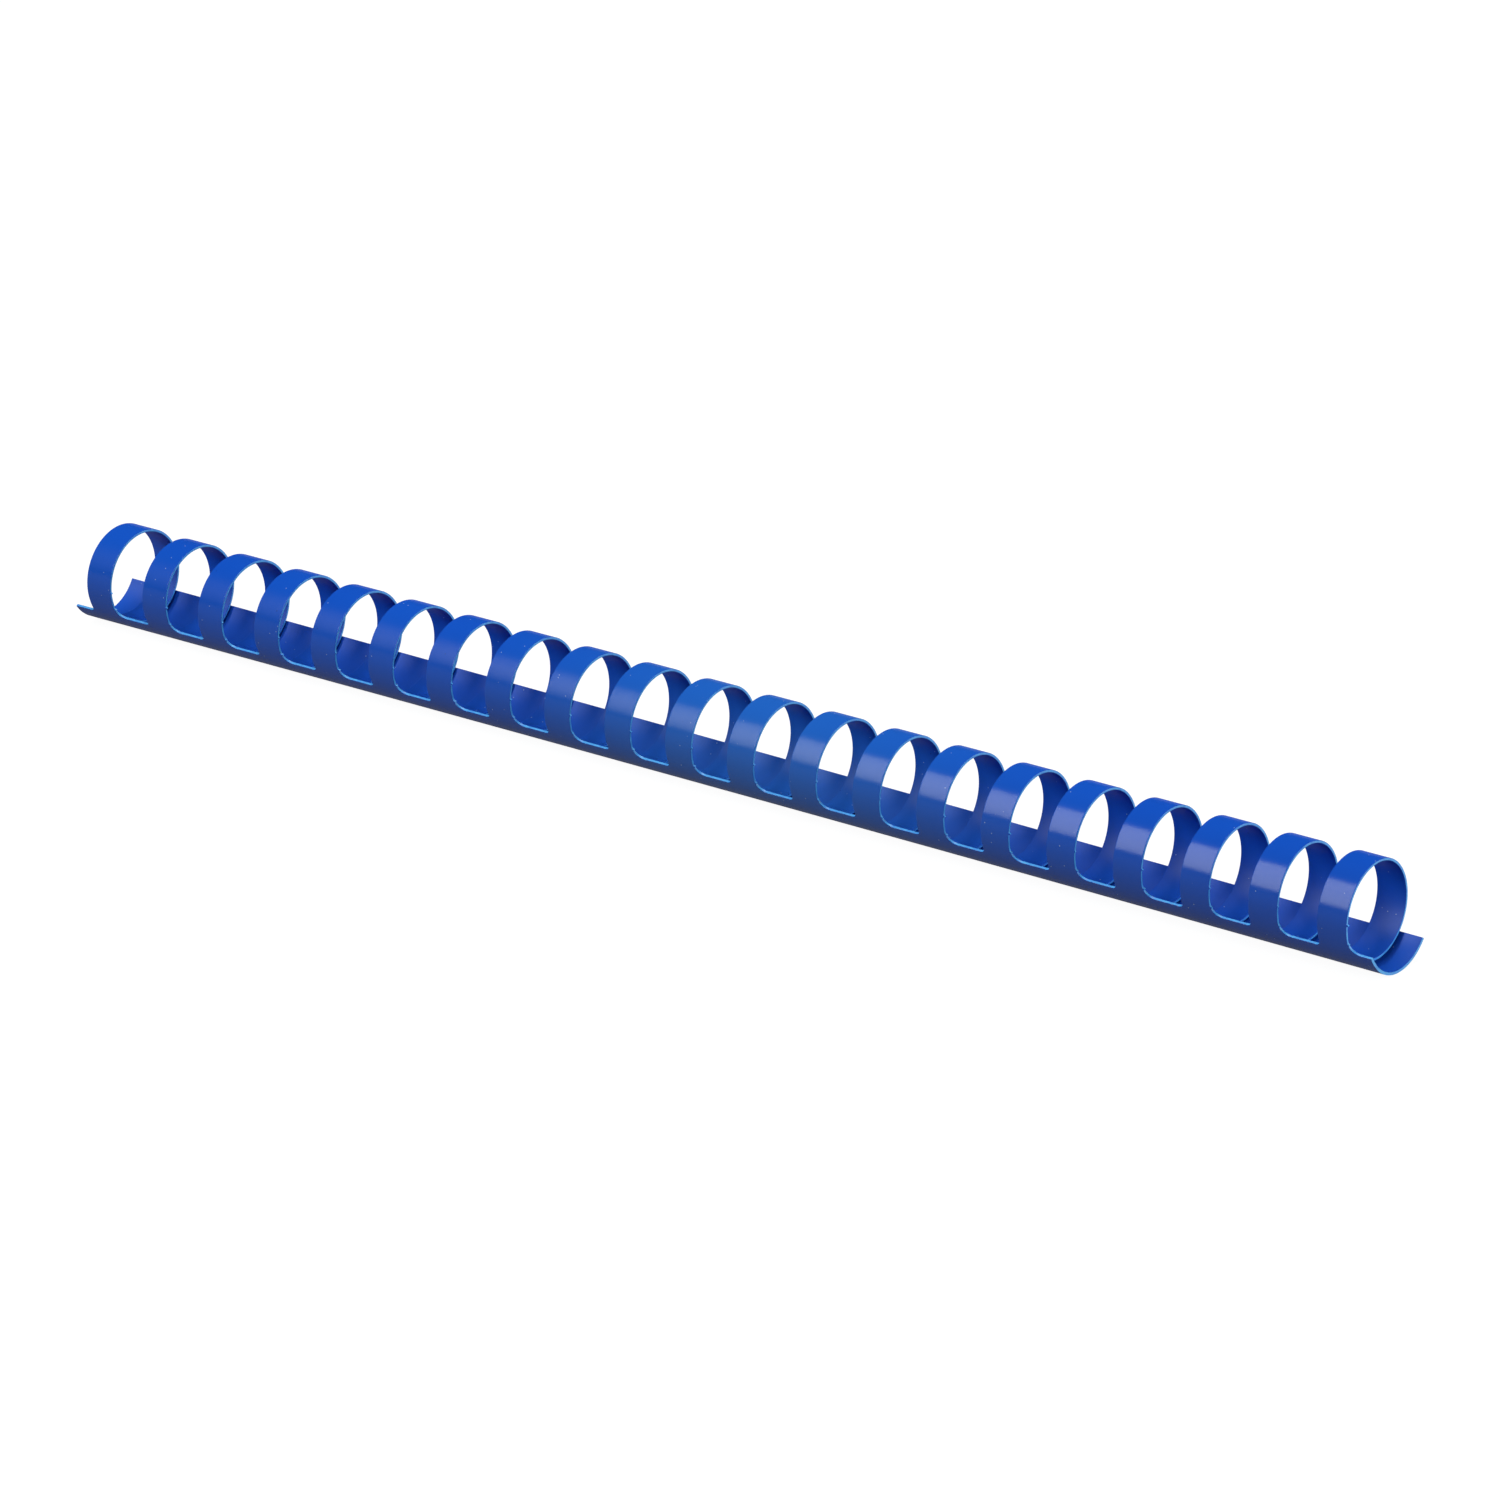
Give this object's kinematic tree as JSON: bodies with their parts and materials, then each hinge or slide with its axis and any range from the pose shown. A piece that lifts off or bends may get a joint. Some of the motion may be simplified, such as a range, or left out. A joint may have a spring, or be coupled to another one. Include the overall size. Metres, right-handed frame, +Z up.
{
  "type": "plastic binding comb",
  "caption": "Curled plastic spine strip with a row of springy finger rings that open, pass through the punched edge of loose sheets and curl shut to bind them.",
  "frame": {"origin": "middle of the comb's length and depth, on the surface that the spine's belly rests on", "axes": "+X along the comb; +Y to the back, where the spine's free edge is; +Z up, over the rings' crowns"},
  "size_m": [0.3, 0.0186, 0.019],
  "materials": {
    "comb_plastic": "smooth satin blue PVC sheet, paler along the die-cut edges"
  },
  "bodies": {
    "spine": {"spine": "comb_plastic"},
    "ring_01": {"ring_01": "comb_plastic"},
    "ring_02": {"ring_02": "comb_plastic"},
    "ring_03": {"ring_03": "comb_plastic"},
    "ring_04": {"ring_04": "comb_plastic"},
    "ring_05": {"ring_05": "comb_plastic"},
    "ring_06": {"ring_06": "comb_plastic"},
    "ring_07": {"ring_07": "comb_plastic"},
    "ring_08": {"ring_08": "comb_plastic"},
    "ring_09": {"ring_09": "comb_plastic"},
    "ring_10": {"ring_10": "comb_plastic"},
    "ring_11": {"ring_11": "comb_plastic"},
    "ring_12": {"ring_12": "comb_plastic"},
    "ring_13": {"ring_13": "comb_plastic"},
    "ring_14": {"ring_14": "comb_plastic"},
    "ring_15": {"ring_15": "comb_plastic"},
    "ring_16": {"ring_16": "comb_plastic"},
    "ring_17": {"ring_17": "comb_plastic"},
    "ring_18": {"ring_18": "comb_plastic"},
    "ring_19": {"ring_19": "comb_plastic"},
    "ring_20": {"ring_20": "comb_plastic"},
    "ring_21": {"ring_21": "comb_plastic"}
  },
  "joints": [
    {"name": "ring_01_hinge", "type": "hinge", "parent": "spine", "child": "ring_01", "pos_m": [-0.14288, -0.00901, 0.00734], "axis": [1, 0, 0], "range_deg": [0, 75], "stiffness_Nm_per_rad": 0.003},
    {"name": "ring_02_hinge", "type": "hinge", "parent": "spine", "child": "ring_02", "pos_m": [-0.12859, -0.00901, 0.00734], "axis": [1, 0, 0], "range_deg": [0, 75], "stiffness_Nm_per_rad": 0.003},
    {"name": "ring_03_hinge", "type": "hinge", "parent": "spine", "child": "ring_03", "pos_m": [-0.1143, -0.00901, 0.00734], "axis": [1, 0, 0], "range_deg": [0, 75], "stiffness_Nm_per_rad": 0.003},
    {"name": "ring_04_hinge", "type": "hinge", "parent": "spine", "child": "ring_04", "pos_m": [-0.10001, -0.00901, 0.00734], "axis": [1, 0, 0], "range_deg": [0, 75], "stiffness_Nm_per_rad": 0.003},
    {"name": "ring_05_hinge", "type": "hinge", "parent": "spine", "child": "ring_05", "pos_m": [-0.08572, -0.00901, 0.00734], "axis": [1, 0, 0], "range_deg": [0, 75], "stiffness_Nm_per_rad": 0.003},
    {"name": "ring_06_hinge", "type": "hinge", "parent": "spine", "child": "ring_06", "pos_m": [-0.07144, -0.00901, 0.00734], "axis": [1, 0, 0], "range_deg": [0, 75], "stiffness_Nm_per_rad": 0.003},
    {"name": "ring_07_hinge", "type": "hinge", "parent": "spine", "child": "ring_07", "pos_m": [-0.05715, -0.00901, 0.00734], "axis": [1, 0, 0], "range_deg": [0, 75], "stiffness_Nm_per_rad": 0.003},
    {"name": "ring_08_hinge", "type": "hinge", "parent": "spine", "child": "ring_08", "pos_m": [-0.04286, -0.00901, 0.00734], "axis": [1, 0, 0], "range_deg": [0, 75], "stiffness_Nm_per_rad": 0.003},
    {"name": "ring_09_hinge", "type": "hinge", "parent": "spine", "child": "ring_09", "pos_m": [-0.02857, -0.00901, 0.00734], "axis": [1, 0, 0], "range_deg": [0, 75], "stiffness_Nm_per_rad": 0.003},
    {"name": "ring_10_hinge", "type": "hinge", "parent": "spine", "child": "ring_10", "pos_m": [-0.01429, -0.00901, 0.00734], "axis": [1, 0, 0], "range_deg": [0, 75], "stiffness_Nm_per_rad": 0.003},
    {"name": "ring_11_hinge", "type": "hinge", "parent": "spine", "child": "ring_11", "pos_m": [0, -0.00901, 0.00734], "axis": [1, 0, 0], "range_deg": [0, 75], "stiffness_Nm_per_rad": 0.003},
    {"name": "ring_12_hinge", "type": "hinge", "parent": "spine", "child": "ring_12", "pos_m": [0.01429, -0.00901, 0.00734], "axis": [1, 0, 0], "range_deg": [0, 75], "stiffness_Nm_per_rad": 0.003},
    {"name": "ring_13_hinge", "type": "hinge", "parent": "spine", "child": "ring_13", "pos_m": [0.02857, -0.00901, 0.00734], "axis": [1, 0, 0], "range_deg": [0, 75], "stiffness_Nm_per_rad": 0.003},
    {"name": "ring_14_hinge", "type": "hinge", "parent": "spine", "child": "ring_14", "pos_m": [0.04286, -0.00901, 0.00734], "axis": [1, 0, 0], "range_deg": [0, 75], "stiffness_Nm_per_rad": 0.003},
    {"name": "ring_15_hinge", "type": "hinge", "parent": "spine", "child": "ring_15", "pos_m": [0.05715, -0.00901, 0.00734], "axis": [1, 0, 0], "range_deg": [0, 75], "stiffness_Nm_per_rad": 0.003},
    {"name": "ring_16_hinge", "type": "hinge", "parent": "spine", "child": "ring_16", "pos_m": [0.07144, -0.00901, 0.00734], "axis": [1, 0, 0], "range_deg": [0, 75], "stiffness_Nm_per_rad": 0.003},
    {"name": "ring_17_hinge", "type": "hinge", "parent": "spine", "child": "ring_17", "pos_m": [0.08572, -0.00901, 0.00734], "axis": [1, 0, 0], "range_deg": [0, 75], "stiffness_Nm_per_rad": 0.003},
    {"name": "ring_18_hinge", "type": "hinge", "parent": "spine", "child": "ring_18", "pos_m": [0.10001, -0.00901, 0.00734], "axis": [1, 0, 0], "range_deg": [0, 75], "stiffness_Nm_per_rad": 0.003},
    {"name": "ring_19_hinge", "type": "hinge", "parent": "spine", "child": "ring_19", "pos_m": [0.1143, -0.00901, 0.00734], "axis": [1, 0, 0], "range_deg": [0, 75], "stiffness_Nm_per_rad": 0.003},
    {"name": "ring_20_hinge", "type": "hinge", "parent": "spine", "child": "ring_20", "pos_m": [0.12859, -0.00901, 0.00734], "axis": [1, 0, 0], "range_deg": [0, 75], "stiffness_Nm_per_rad": 0.003},
    {"name": "ring_21_hinge", "type": "hinge", "parent": "spine", "child": "ring_21", "pos_m": [0.14288, -0.00901, 0.00734], "axis": [1, 0, 0], "range_deg": [0, 75], "stiffness_Nm_per_rad": 0.003}
  ]
}
